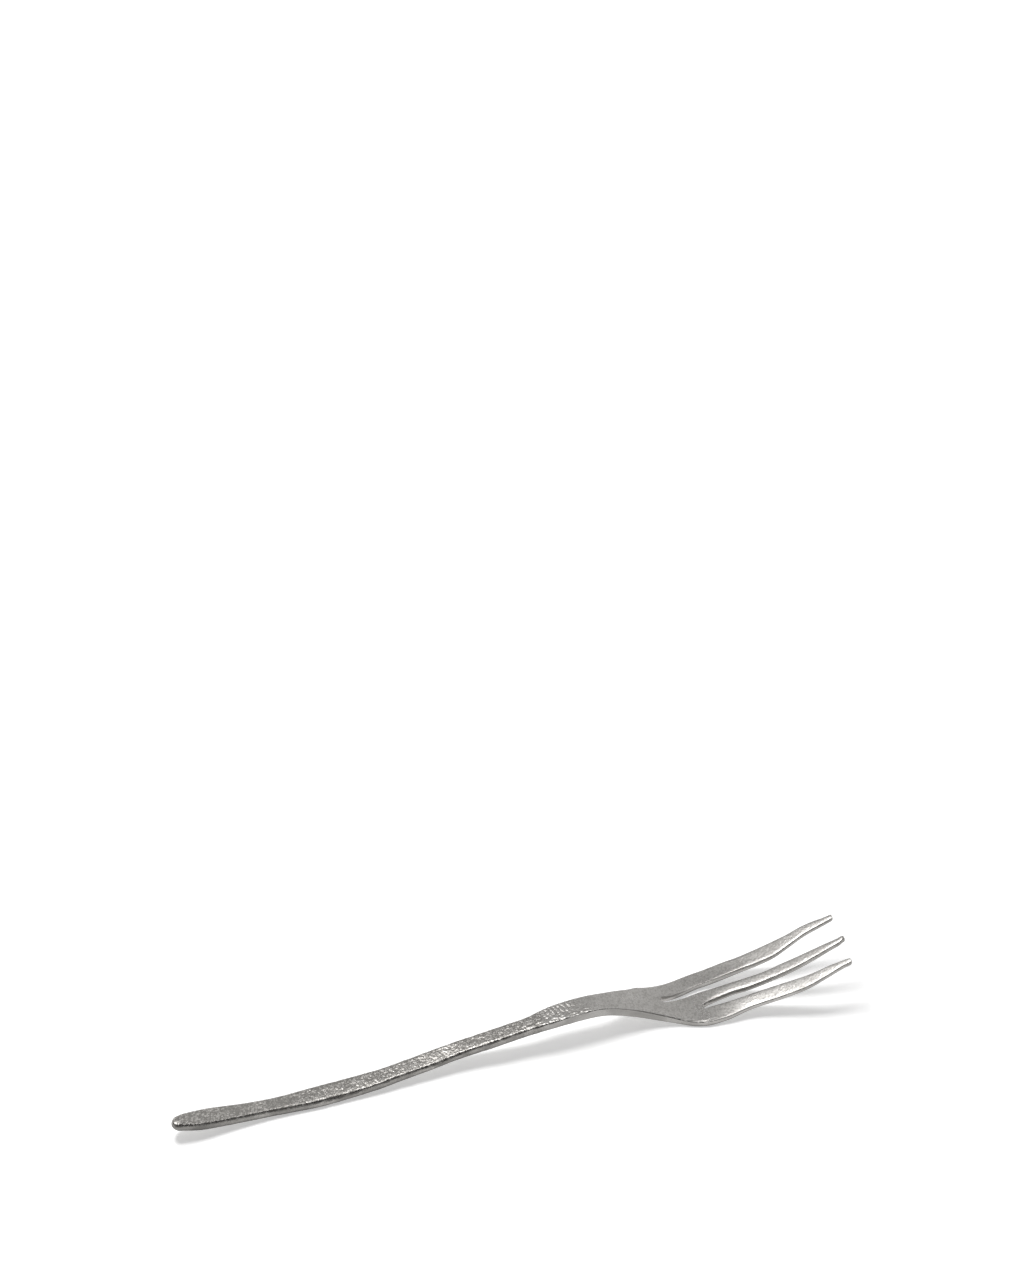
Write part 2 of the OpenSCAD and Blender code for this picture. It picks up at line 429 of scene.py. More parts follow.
    def drop(self, plan: Array, depth: Array) -> Array:
        """Gives how far the crowned, slightly leaning face has fallen.

        Args:
            plan: Plan points.
            depth: How far in from the outline they are.

        Returns:
            The falls. Those of the tines differ, and start at the roots of the slots.
        """
        station, mine = plan[:, 0], self.nearest_tine(plan)
        share = self.tine_share.at(station)
        drops = np.choose(mine, [FlowingLine.through(tine.crowns).at(station) for tine in self.tines])
        reaches = np.array([tine.crown_reach for tine in self.tines])[mine]
        leans = np.choose(mine, [tine.leaning(plan) for tine in self.tines])
        drop = self.crown_drop.at(station) * (1 - share) + drops * share
        reach = self.crown_reach.at(station) * (1 - share) + reaches * share
        bar = np.minimum(station, self.cuts[2])
        right = np.clip(0.5 - (plan[:, 1] - self.sway.at(bar)) / self.width.at(bar), 0, 1)
        lean = self.lean.at(station) * right ** self.lean_power.at(station) * (1 - share) + leans * share
        return drop * np.clip(1 - depth / reach, 0, 1) ** 2 + lean

    def row(self, start: float, end: float) -> Array:
        """Gives closely spaced stations that crowd at both ends, so that round ends stay round."""
        n = max(int(abs(end - start) / self.fine_step), self.fewest_steps)
        return start + (end - start) * (1 - np.cos(np.linspace(0, math.pi, n))) / 2

    def slot_loop(self, slot: Slot) -> Array:
        """Lays a slot's outline out along its right side, round its root and back.

        Args:
            slot: The slot.

        Returns:
            Plan points of the outline.
        """
        radius = slot.root_width / 2
        middle = slot.root + radius
        row = self.row(middle, self.cuts[2])
        right, left = (np.stack([row, slot.side(row, sign)], 1) for sign in (-1, 1))
        turn = np.linspace(-math.pi / 2, math.pi / 2, self.root_steps)[1:-1]
        root = np.stack([middle - radius * np.cos(turn), slot.root_y + radius * np.sin(turn)], 1)
        return np.concatenate([right[::-1], root, left])

    def segments(self) -> list[tuple[Region, Array]]:
        """Lists the stretches of the outline in order round the fork.

        Returns:
            The region and the plan points of each stretch.
        """
        right_side, left_side = [], []
        for region, start, end in zip(ORDER, (0.0, *self.cuts), self.cuts):
            row = self.row(start, end)
            right_side.append((region, np.stack([row, self.bar_edge(row, -1)], 1)))
            left_side.insert(0, (region, np.stack([row, self.bar_edge(row, 1)], 1)[::-1]))
        start = self.cuts[2]
        near, middle, far = (
            (tine.region, tine.loop(self.row(start, start + tine.length))) for tine in self.tines)
        right_slot, left_slot = (
            (Region.HEAD, self.slot_loop(slot)) for slot in (self.head.right_slot, self.head.left_slot))
        return [*right_side, near, right_slot, middle, left_slot, far, *left_side]

    def outline(self) -> tuple[Array, Array, Array]:
        """Walks once round the fork at an even pace.

        Returns:
            Plan points, inward directions, and the number of the region of each stretch.
        """
        points, regions = [], []
        for region, line in self.segments():
            steps = np.linalg.norm(np.diff(line, axis=0), axis=1)
            run = np.concatenate([[0], np.cumsum(steps)])
            n = max(int(round(run[-1] / self.spacing)), 2)
            even = np.linspace(0, run[-1], n + 1)[:-1]
            points.append(np.stack([np.interp(even, run, line[:, 0]), np.interp(even, run, line[:, 1])], 1))
            regions.append(np.full(n, ORDER.index(region)))
        plan = np.concatenate(points)
        along = np.roll(plan, -1, 0) - np.roll(plan, 1, 0)
        inward = np.stack([-along[:, 1], along[:, 0]], 1)
        inward /= np.linalg.norm(inward, axis=1)[:, None]
        at_cut = np.min(np.abs(plan[:, :1] - np.array(self.cuts)), axis=1) < ON_CUT
        inward[at_cut] = np.stack([np.zeros(at_cut.sum()), np.sign(inward[at_cut, 1])], 1)
        return plan, inward, np.concatenate(regions)

    def inside_points(self, ring: Array) -> Array:
        """Scatters evenly spaced points over the faces, clear of the ring and the cuts.

        Args:
            ring: Plan points of the inner edge of the rounded rim.

        Returns:
            Plan points.
        """
        reach = self.head.fan_width / 2 + self.spare
        rows = np.arange(-reach, reach, self.spacing * math.sqrt(3) / 2)
        x, y = np.meshgrid(np.arange(0, self.tip, self.spacing), rows)
        x = x + np.where(np.arange(len(rows)) % 2, self.spacing / 2, 0)[:, None]
        x, y = x.ravel(), y.ravel()
        points = np.stack([x, y], 1)
        inside = (x < self.cuts[2]) & (y > self.bar_edge(x, -1)) & (y < self.bar_edge(x, 1))
        for tine in self.tines:
            inside |= tine.holds(points)
        clear = self.spacing * self.keep_clear
        points = points[inside & (np.min(np.abs(x[:, None] - np.array(self.cuts)), axis=1) > clear)]
        return points[distances(points, ring)[0] > clear]

    def fill(self, ring: Array) -> tuple[Array, Array, Array]:
        """Fills the area inside the rim with small even triangles.

        Args:
            ring: Plan points of the inner edge of the rim.

        Returns:
            Plan points of the filling, the ring number of each or -1, and the triangles.
        """
        n = count = len(ring)
        edges = [(i, (i + 1) % n) for i in range(n)]
        extra: list[Array] = []
        for cut in self.cuts:
            ends = np.flatnonzero(np.abs(ring[:, 0] - cut) < ON_CUT)
            ends = ends[np.argsort(ring[ends, 1])]
            for low, high in zip(ends[::2], ends[1::2]):
                steps = max(int(round((ring[high, 1] - ring[low, 1]) / self.spacing)), 2)
                line = np.linspace(ring[low], ring[high], steps + 1)[1:-1]
                chain = [int(low), *range(count, count + len(line)), int(high)]
                edges += list(zip(chain, chain[1:]))
                extra.append(line)
                count += len(line)
        given = [Vector(point) for point in np.concatenate([ring, *extra, self.inside_points(ring)])]
        verts, _, faces, origins, _, _ = delaunay_2d_cdt(given, edges, [], FILL_INSIDE, MERGED)
        plan = np.array([tuple(v) for v in verts])
        numbers = np.array([o[0] if o and o[0] < n else -1 for o in origins])
        triangles = np.array([f for f in faces if len(f) == 3])
        a, b, c = (plan[triangles[:, k]] for k in range(3))
        turn = (b[:, 0] - a[:, 0]) * (c[:, 1] - a[:, 1]) - (b[:, 1] - a[:, 1]) * (c[:, 0] - a[:, 0])
        triangles[turn < 0] = triangles[turn < 0][:, ::-1]
        return plan, numbers, triangles

    def wall(self, plan: Array, inward: Array) -> tuple[Array, Array, Array]:
        """Builds the rim: rounded top edge, side and rounded bottom edge, row by row from top to bottom.

        Args:
            plan: Plan points of the outline.
            inward: Inward directions there.

        Returns:
            Points, outward directions and depths in from the outline, each as rows round the fork.
        """
        x = plan[:, 0]
        half, on_tine = self.thickness.at(x) / 2, self.tine_share.at(x)
        drafts = np.array([tine.draft for tine in self.tines])[self.nearest_tine(plan)]
        draft = (self.draft.at(x) * (1 - on_tine) + drafts * on_tine) * np.clip(inward[:, 1], 0, 1)
        turns = np.linspace(math.pi / 2, 0, self.edge_steps + 1)
        radii = {1: self.rounding(plan), -1: self.under_rounding.at(x)}
        rows: list[tuple[Array, Array, Array]] = []
        for sign, radius in radii.items():
            for turn in turns if sign > 0 else turns[::-1]:
                depth = radius * (1 - math.cos(turn))
                flat = plan + inward * (depth + (draft if sign > 0 else 0))[:, None]
                fall = self.drop(flat, depth) * (1 if sign > 0 else self.under_share)
                height = sign * (half - radius * (1 - math.sin(turn)) - fall)
                out = np.column_stack([-inward * math.cos(turn), np.full(len(plan), sign * math.sin(turn))])
                rows.append((np.column_stack([flat, height]), out, depth))
            if sign > 0:
                top, out, _ = rows[-1]
                low = -(half - radii[-1] - self.drop(plan, half * 0) * self.under_share)
                for k in range(1, self.side_rows):
                    down = k / self.side_rows
                    swell = self.side_swell * 4 * down * (1 - down)
                    flat = plan + inward * (draft * (1 - down) - swell)[:, None]
                    height = top[:, 2] + (low - top[:, 2]) * down
                    rows.append((np.column_stack([flat, height]), out, half * 0))
        points, outs, depths = (np.array(part) for part in zip(*rows))
        return points, outs, depths

    def region_of(self, plan: Array) -> Array:
        """Gives the number of the region that holds each plan point.

        Args:
            plan: Plan points.

        Returns:
            Numbers in the regions' order.
        """
        kinds = np.searchsorted(np.array(self.cuts), plan[:, 0])
        numbers = np.array([ORDER.index(tine.region) for tine in self.tines])[self.nearest_tine(plan)]
        return np.where(kinds < len(self.cuts), kinds, numbers)

    def build(self) -> Object:
        """Makes the blank as one closed shell, with the attributes that the forge reads.

        Returns:
            An object whose X is the station, Y the sideways place and Z the height over the metal's middle.
        """
        plan, inward, regions = self.outline()
        points, outs, depths = self.wall(plan, inward)
        rows, n = points.shape[:2]
        filling, numbers, triangles = self.fill(points[0, :, :2])
        loose, held = np.flatnonzero(numbers < 0), np.flatnonzero(numbers >= 0)
        inside = filling[loose]
        far, nearest = distances(inside, points[0, :, :2])
        depth = far + depths[0][nearest]
        half, fall = self.thickness.at(inside[:, 0]) / 2, self.drop(inside, depth)
        faces_up, faces_down = np.zeros(len(filling), int), np.zeros(len(filling), int)
        faces_up[held] = numbers[held]
        faces_down[held] = (rows - 1) * n + numbers[held]
        faces_up[loose] = rows * n + np.arange(len(loose))
        faces_down[loose] = faces_up[loose] + len(loose)
        verts = np.concatenate([points.reshape(-1, 3), np.column_stack([inside, half - fall]),
                                np.column_stack([inside, fall * self.under_share - half])])
        flats = [np.tile([0.0, 0.0, sign], (len(loose), 1)) for sign in (1.0, -1.0)]
        i = np.arange(n)
        j = (i + 1) % n
        quads = np.concatenate(
            [np.stack([a * n + i, (a + 1) * n + i, (a + 1) * n + j, a * n + j], 1) for a in range(rows - 1)])
        kinds = self.region_of(filling[triangles].mean(1))
        mesh = plain_mesh("blank", verts * MM, [quads, faces_up[triangles], faces_down[triangles][:, ::-1]])
        bar = np.minimum(verts[:, 0], self.cuts[2])
        across = (verts[:, 1] - self.sway.at(bar)) / (self.width.at(bar) / 2)
        add_numbers(mesh, "outward", "FLOAT_VECTOR", "POINT", np.concatenate([outs.reshape(-1, 3), *flats]))
        add_numbers(mesh, "edge", "FLOAT", "POINT", np.concatenate([depths.ravel(), depth, depth]))
        add_numbers(mesh, "across", "FLOAT", "POINT", np.clip(across, -1, 1))
        numbers = np.concatenate([np.tile(regions, rows - 1), kinds, kinds])
        add_numbers(mesh, "region", "INT", "FACE", numbers)
        return placed("blank", mesh)


def distances(points: Array, others: Array) -> tuple[Array, Array]:
    """Finds the nearest of some plan points to each of others.

    Args:
        points: Plan points to measure from.
        others: Plan points to measure to.

    Returns:
        The distance from each point, and the number of its nearest.
    """
    tree = KDTree(len(others))
    for i, (x, y) in enumerate(others):
        tree.insert((x, y, 0), i)
    tree.balance()
    found = [tree.find((x, y, 0)) for x, y in points]
    return np.array([far for _, _, far in found]), np.array([i for _, i, _ in found])


def placed(name: str, data: Any) -> Object:
    """Puts a mesh, a lamp or a camera in the scene.

    Args:
        name: Name of the object.
        data: The mesh, lamp or camera.

    Returns:
        The object, at the origin.
    """
    thing = bpy.data.objects.new(name, data)
    bpy.context.scene.collection.objects.link(thing)
    return thing


def plain_mesh(name: str, verts: Array, groups: Sequence[Array]) -> Mesh:
    """Makes a mesh from points and groups of faces that have equal numbers of corners.

    Args:
        name: Name of the mesh.
        verts: Points, in metres.
        groups: Arrays of faces, one row for each face.

    Returns:
        The mesh, with smooth faces.
    """
    mesh = bpy.data.meshes.new(name)
    corners = np.concatenate([g.ravel() for g in groups]).astype(np.int32)
    sizes = np.concatenate([np.full(len(g), g.shape[1]) for g in groups])
    mesh.vertices.add(len(verts))
    mesh.vertices.foreach_set("co", np.asarray(verts, np.float32).ravel())
    mesh.loops.add(len(corners))
    mesh.loops.foreach_set("vertex_index", corners)
    mesh.polygons.add(len(sizes))
    mesh.polygons.foreach_set("loop_start", np.concatenate([[0], np.cumsum(sizes)[:-1]]).astype(np.int32))
    mesh.polygons.foreach_set("use_smooth", np.ones(len(sizes), bool))
    mesh.update(calc_edges=True)
    return mesh


def add_numbers(mesh: Mesh, name: str, kind: str, domain: str, values: Array) -> None:
    """Stores an attribute on a mesh.

    Args:
        mesh: The mesh.
        name: Name of the attribute.
        kind: FLOAT, INT or FLOAT_VECTOR.
        domain: POINT or FACE.
        values: One value for each element.
    """
    layer = mesh.attributes.new(name, kind, domain)
    numbers = np.asarray(values, np.int32 if kind == "INT" else np.float32).ravel()
    layer.data.foreach_set("vector" if kind == "FLOAT_VECTOR" else "value", numbers)


def read_numbers(items: Any, name: str, kind: type = np.int32, width: int = 1) -> Array:
    """Reads one property of all vertices, corners or faces of a mesh.

    Args:
        items: The mesh's vertices, corners, faces or attribute values.
        name: Name of the property.
        kind: Its kind of number.
        width: How many numbers it has.

    Returns:
        The numbers, in rows where there is more than one for each item.
    """
    values = np.zeros(len(items) * width, kind)
    items.foreach_get(name, values)
    return values.reshape(-1, width) if width > 1 else values


@dataclass
class Wire:
    """A value on its way through a node tree, so that sums can be written as plain arithmetic."""

    tree: NodeTree
    socket: NodeSocket

    @classmethod
    def of(cls, node: Node, key: Union[int, str] = 0) -> "Wire":
        """Takes one output of a node."""
        return cls(node.id_data, node.outputs[key])

    def math(self, operation: str, *others: Number) -> "Wire":
        """Adds a math node with this value and others as its inputs."""
        inputs = dict(enumerate((self, *others)))
        return Wire.of(add(self.tree, "ShaderNodeMath", inputs, operation=operation))

    def __add__(self, other: Number) -> "Wire":
        """Adds a value."""
        return self.math("ADD", other)

    def __sub__(self, other: Number) -> "Wire":
        """Takes a value away."""
        return self.math("SUBTRACT", other)

    def __mul__(self, other: Number) -> "Wire":
        """Multiplies by a value."""
        return self.math("MULTIPLY", other)

    def __truediv__(self, other: Number) -> "Wire":
        """Divides by a value."""
        return self.math("DIVIDE", other)

    def between(self, low: Number, high: Number) -> "Wire":
        """Gives 0 up to low, 1 from high on and a gentle rise between, or a fall where high is under low."""
        inputs = dict(enumerate((self, low, high, 0.0, 1.0)))
        return Wire.of(add(self.tree, "ShaderNodeMapRange", inputs, interpolation_type="SMOOTHSTEP"))

    def parts(self) -> list["Wire"]:
        """Splits a vector into its three parts."""
        return [Wire(self.tree, s) for s in add(self.tree, "ShaderNodeSeparateXYZ", {0: self}).outputs]

    def joined(self, y: "Wire", z: "Wire") -> "Wire":
        """Joins this value and two others into a vector."""
        return Wire.of(add(self.tree, "ShaderNodeCombineXYZ", {0: self, 1: y, 2: z}))

    def in_millimetres(self) -> "Wire":
        """Turns a place in metres into one in millimetres."""
        return Wire.of(add(self.tree, "ShaderNodeVectorMath", {0: self, "Scale": 1 / MM}, operation="SCALE"))

    def noise(self, size: Number, seed: Number, detail: float = 2.0) -> "Wire":
        """Adds a noise texture that swings about 0, read at this place in millimetres.

        Args:
            size: Size of its lumps, in millimetres.
            seed: Which noise it is.
            detail: How many finer noises are mixed in.

        Returns:
            A value that is mostly between -1 and 1.
        """
        scale = Wire.of(add(self.tree, "ShaderNodeMath", {0: 1.0, 1: size}, operation="DIVIDE"))
        node = add(self.tree, "ShaderNodeTexNoise", noise_dimensions="4D")
        for name, value in (("Vector", self), ("W", seed), ("Scale", scale), ("Detail", detail)):
            plug(value, node.inputs[name])
        value = next(s for s in node.outputs if s.type == "VALUE")
        return (Wire(self.tree, value) - NOISE_MIDDLE) * NOISE_SWING


def plug(value: Any, slot: NodeSocket) -> None:
    """Links a wire to a socket, or sets the socket to a constant.

    Args:
        value: The wire or the constant.
        slot: The socket.
    """
    if isinstance(value, Wire):
        value.tree.links.new(value.socket, slot)
    else:
        slot.default_value = value


def add(tree: NodeTree, kind: str, inputs: Optional[dict] = None, **settings: Any) -> Node:
    """Adds a node to a tree.

    Args:
        tree: The tree.
        kind: The node's kind.
        inputs: Wires and constants for its inputs, by number or name.
        settings: Its settings, made before the inputs.

    Returns:
        The node.
    """
    node = tree.nodes.new(kind)
    for name, value in settings.items():
        setattr(node, name, value)
    for key, value in (inputs or {}).items():
        plug(value, node.inputs[key])
    return node


@dataclass(frozen=True)
class Zone:
    """A soft-edged part of the fork or the room: ramps that rise or fall, and the strength inside them."""

    ramps: tuple[tuple[Read, float, float], ...]
    strength: float = 1.0

    def share(self, reads: dict[Read, Wire]) -> Wire:
        """Adds the zone's nodes.

        Args:
            reads: What the ramps measure.

        Returns:
            The strength inside the zone, and 0 outside it.
        """
        share, *others = [reads[kind].between(low, high) for kind, low, high in self.ramps]
        for other in others:
            share = share * other
        return share if self.strength == 1.0 else share * self.strength


@dataclass
class Forge:
    """The Geometry Nodes tree that bends the blank along its side view and works its surface."""

    heights: tuple[tuple[str, float, float, float], ...]
    middle_x: float
    middle_y: float
    grain_size: float = 0.43
    grain_depth: float = 0.05
    pit_size: float = 1.3
    pit_depth: float = 0.02
    pit_low: float = 0.15
    pit_high: float = 0.8
    lump_size: float = 4.5
    lump_depth: float = 0.04
    hammer_length: float = 1.9
    hammer_width: float = 0.5
    hammer_depth: float = 0.09
    ripple_pitch: float = 1.05
    ripple_depth: float = 0.066
    ripple_sink: float = 0.4
    ripple_slant: float = 0.4
    bend_size: float = 2.2
    bend_depth: float = 0.22
    cast_end: float = 107.0
    cast_fade: float = 16.0
    satin_size: float = 0.42
    satin_depth: float = 0.01
    # Base strength of the painted shade on the sides.
    side_dark: float = 1.15
    seed: float = 7.0
    slope_step: float = 0.05
    faces: Zone = Zone(((Read.FLAT, 0.2, 0.8),))
    top: Zone = Zone(((Read.UP, 0.1, 0.6),))
    worked: Zone = Zone(((Read.STATION, 78.0, 86.0), (Read.STATION, 104.0, 98.0), (Read.ACROSS, 0.1, -0.7)))
    dented: Zone = Zone(((Read.STATION, 28.0, 40.0), (Read.STATION, 92.0, 86.0), (Read.EDGE, 1.1, 0.3)), 0.5)
    head_rim: Zone = Zone(((Read.STATION, 117.0, 120.0), (Read.STATION, 129.0, 126.0),
                           (Read.ACROSS, -0.65, -0.85), (Read.EDGE, 0.9, 0.4)))
    rippled: Zone = Zone(((Read.STATION, 87.5, 89.5), (Read.STATION, 97.0, 94.5), (Read.UP, 0.1, 0.6),
                          (Read.ACROSS, -0.6, 0.0)))
    coarse_satin: Zone = Zone(((Read.STATION, 120.0, 127.0),), 0.7)
    # Where the sides' colour is darkened as painted shade: the sides and the nose's end, not the underside,
    # with less of it past the nose, from the neck on, along the tines and round the slot roots.
    side: Zone = Zone(((Read.UP, 0.8, 0.45),))
    end_side: Zone = Zone(((Read.UP, 0.85, 0.6), (Read.STATION, 5.0, 2.0)))
    over_table: Zone = Zone(((Read.UP, -0.95, -0.75),))
    less_side_shade: tuple[Zone, ...] = (
        Zone(((Read.STATION, 6.0, 15.0),), -0.26),
        Zone(((Read.STATION, 70.0, 98.0),), -0.177),
        Zone(((Read.STATION, 120.0, 126.0), (Read.STATION, 159.0, 157.5)), -0.223))
    less_root_shade: Zone = Zone(
        ((Read.ASIDE, 0.9, 0.7), (Read.STATION, 114.0, 116.0), (Read.STATION, 122.0, 119.0)), -0.9)

    def sizes(self) -> dict[str, float]:
        """Lists the tree's named inputs.

        Returns:
            Their names and values: the side view's knots, and every size of the forge.
        """
        named = {f"{name} {part}": value for name, *knot in self.heights
                 for part, value in zip(("Station", "Height", "Slope"), knot)}
        plain = {item.name: getattr(self, item.name) for item in fields(self)}
        named.update({titled(name): value for name, value in plain.items() if isinstance(value, float)})
        return named

    @staticmethod
    def stretch_group() -> NodeTree:
        """Makes the group that gives the rise of one stretch of the side view.

        Returns:
            A group whose output is the rise over the stretch's start, held where the stretch ends.
        """
        names = ("X", "Station", "Height", "Slope", "Next Station", "Next Height", "Next Slope")
        group, given, result = node_group(
            "side_view_stretch", "GeometryNodeTree", dict.fromkeys(names, FLOAT), {"Rise": FLOAT})
        x, x0, z0, m0, x1, z1, m1 = (given[name] for name in names)
        run = x1 - x0
        t = ((x - x0) / run).math("MAXIMUM", 0.0).math("MINIMUM", 1.0)
        rest = t * -1.0 + 1.0
        rise = t * t * (t * -2.0 + 3.0) * (z1 - z0)
        plug(rise + t * rest * rest * run * m0 - t * t * rest * run * m1, result.inputs["Rise"])
        return group

    def side_view(self, group: NodeTree, size: dict[str, Wire], x: Wire) -> Wire:
        """Gives the height of the middle of the metal.

        Args:
            group: The group of one stretch.
            size: The tree's named inputs.
            x: Stations, in millimetres.

        Returns:
            Heights over the table, in millimetres.
        """
        names = [name for name, *_ in self.heights]
        total = size[f"{names[0]} Height"]
        for name, after in zip(names, names[1:]):
            knots = {f"{lead}{part}": size[f"{knot} {part}"] for lead, knot in (("", name), ("Next ", after))
                     for part in ("Station", "Height", "Slope")}
            node = add(x.tree, "GeometryNodeGroup", node_tree=group)
            for key, value in {"X": x, **knots}.items():
                plug(value, node.inputs[key])
            total = total + Wire.of(node)
        return total

    def tree(self) -> NodeTree:
        """Builds the forge's tree.

        Returns:
            A tree that takes the blank and gives the bent, worked fork.
        """
        sizes = self.sizes()
        tree, given, result = node_group(
            "forge", "GeometryNodeTree",
            {"Geometry": SHAPE, **dict.fromkeys(sizes, FLOAT), "Material": FINISH}, {"Geometry": SHAPE})
        for item in tree.interface.items_tree:
            if item.name in sizes:
                item.default_value = sizes[item.name]
        outward, across, edge = (
            Wire.of(add(tree, "GeometryNodeInputNamedAttribute", {"Name": name}, data_type=kind))
            for name, kind in (("outward", "FLOAT_VECTOR"), ("across", "FLOAT"), ("edge", "FLOAT")))
        x, y, z = (part / MM for part in Wire.of(add(tree, "GeometryNodeInputPosition")).parts())
        out_x, out_y, out_z = outward.parts()
        reads = {Read.STATION: x, Read.ACROSS: across, Read.ASIDE: across.math("ABSOLUTE"), Read.EDGE: edge,
                 Read.UP: out_z, Read.FLAT: out_z.math("ABSOLUTE")}
        relief, fine = self.relief(given, (x, y, z), reads)
        group, step = self.stretch_group(), given["Slope Step"]
        rise = self.side_view(group, given, x + step) - self.side_view(group, given, x - step)
        slope = rise / (step * 2.0)
        stand = (slope * slope + 1.0).math("SQRT")
        new_x = x - given["Middle X"] + (out_x - slope * out_z) / stand * relief
        new_y = y - given["Middle Y"] + out_y * relief
        new_z = (self.side_view(group, given, x) + z * stand + out_z * relief).math("MAXIMUM", 0.0)
        place = (new_x * MM).joined(new_y * MM, new_z * MM)
        # The painted shade on the sides is stored for the finishes, beside the fine relief.
        dark, kept = self.flank(given, reads), {"data_type": "FLOAT", "domain": "POINT"}
        shape = given["Geometry"]
        for kind, inputs, settings in (
                ("GeometryNodeStoreNamedAttribute", {"Name": "relief", "Value": fine}, kept),
                ("GeometryNodeStoreNamedAttribute", {"Name": "flank", "Value": dark}, kept),
                ("GeometryNodeSetPosition", {"Position": place}, {}),
                ("GeometryNodeSetShadeSmooth", {}, {}),
                ("GeometryNodeRealizeInstances", {}, {}),
                ("GeometryNodeSetMaterial", {"Material": given["Material"]}, {})):
            shape = Wire.of(add(tree, kind, {0: shape, **inputs}, **settings))
        plug(shape, result.inputs["Geometry"])
        return tree

    def flank(self, size: dict[str, Wire], reads: dict[Read, Wire]) -> Wire:
        """Gives how much painted shade each place takes on the sides' colour.

        Args:
            size: The tree's named inputs.
            reads: What the zones measure.

        Returns:
            The share: high on the sides, less where less shade is painted, and none on the faces.
        """
        end, bar, tines = (zone.share(reads) for zone in self.less_side_shade)
        dark = (end + bar + size["Side Dark"] + tines) * (self.less_root_shade.share(reads) + 1.0)
        side = self.side.share(reads).math("MAXIMUM", self.end_side.share(reads))
        return side * self.over_table.share(reads) * dark

    def relief(self, size: dict[str, Wire], at: tuple[Wire, Wire, Wire],
               reads: dict[Read, Wire]) -> tuple[Wire, Wire]:
        """Works the surface: cast grain and pits, soft lumps, hammer marks, ripples on the neck.

        Args:
            size: The tree's named inputs.
            at: Station, sideways place and height, in millimetres.
            reads: What the zones measure.

        Returns:
            How far the surface moves outwards in millimetres, and the fine part of that.
        """
        x, y, z = at
        place = x.joined(y, z)
        stretched = (x / size["Hammer Length"]).joined(y / size["Hammer Width"], z)
        seeds = {draw: size["Seed"] + draw.value for draw in Draw}
        face, top = self.faces.share(reads), self.top.share(reads)
        fade = x.between(size["Cast End"], size["Cast End"] - size["Cast Fade"])
        grain = place.noise(size["Grain Size"], seeds[Draw.GRAIN]) * size["Grain Depth"]
        pits = place.noise(size["Pit Size"], seeds[Draw.PITS], detail=0.0)
        pits = pits.between(size["Pit Low"], size["Pit High"]) * size["Pit Depth"]
        lumps = place.noise(size["Lump Size"], seeds[Draw.LUMPS], detail=1.0) * size["Lump Depth"] * fade
        marked = self.worked.share(reads)
        for zone in (self.dented, self.head_rim):
            marked = marked.math("MAXIMUM", zone.share(reads))
        hammer = stretched.noise(1.0, seeds[Draw.HAMMER], detail=1.0) * size["Hammer Depth"] * top * marked
        bend = place.noise(size["Bend Size"], seeds[Draw.BENDS], detail=1.0) * size["Bend Depth"]
        turns = ((x + y * size["Ripple Slant"]) / size["Ripple Pitch"] + bend) * (2 * math.pi)
        wave = turns.math("SINE") * 0.5 + 0.5
        ripple = (wave * wave - size["Ripple Sink"]) * self.rippled.share(reads) * size["Ripple Depth"]
        satin = place.noise(size["Satin Size"], seeds[Draw.SATIN]) * face
        satin = satin * (self.coarse_satin.share(reads) + 1.0)
        cast = face * fade
        fine = grain * cast - pits * cast + hammer + ripple
        # The fine relief, whose hollows the finishes darken as painted shade.
        shown = fine / size["Grain Depth"] + satin * (fade * -1.0 + 1.0)
        return fine + lumps + satin * size["Satin Depth"], shown

    def work(self, blank: Object, material: Material) -> Mesh:
        """Runs the blank through the tree.

        Args:
            blank: The flat blank.
            material: Finish that the tree puts on it.

        Returns:
            The bent, worked fork as one plain mesh. The blank is removed.
        """
        modifier = blank.modifiers.new("forge", "NODES")
        modifier.node_group = self.tree()
        values = {**self.sizes(), "Material": material}
        for item in modifier.node_group.interface.items_tree:
            if item.in_out == "INPUT" and item.name in values:
                modifier[item.identifier] = values[item.name]
        graph = bpy.context.evaluated_depsgraph_get()
        mesh = bpy.data.meshes.new_from_object(
            blank.evaluated_get(graph), preserve_all_data_layers=True, depsgraph=graph)
        blank.modifiers.remove(modifier)
        bpy.data.objects.remove(blank)
        return mesh


def node_group(name: str, kind: str, inputs: dict[str, str],
               outputs: dict[str, str]) -> tuple[NodeTree, dict[str, Wire], Node]:
    """Starts a node group.

    Args:
        name: Name of the group.
        kind: Its kind of tree.
        inputs: Names of its inputs, with their socket types.
        outputs: Names of its outputs, with their socket types.

    Returns:
        The group, its inputs as wires, and its output node.
    """
    group = bpy.data.node_groups.new(name, kind)
    for side, sockets in (("INPUT", inputs), ("OUTPUT", outputs)):
        for label, socket in sockets.items():
            group.interface.new_socket(label, in_out=side, socket_type=socket)
    given = add(group, "NodeGroupInput")
    return group, {label: Wire.of(given, label) for label in inputs}, add(group, "NodeGroupOutput")


def mixed(share: Wire, first: Wire, second: Wire) -> Wire:
    """Mixes two colours.

    Args:
        share: Share of the second colour.
        first: The first colour.
        second: The second colour.

    Returns:
        The mixed colour.
    """
    mix = add(share.tree, "ShaderNodeMix", data_type="RGBA")
    colours = [s for s in mix.inputs if s.type == "RGBA"]
    for slot, value in zip((mix.inputs["Factor"], *colours), (share, first, second)):
        plug(value, slot)
    return Wire(share.tree, next(s for s in mix.outputs if s.type == "RGBA"))


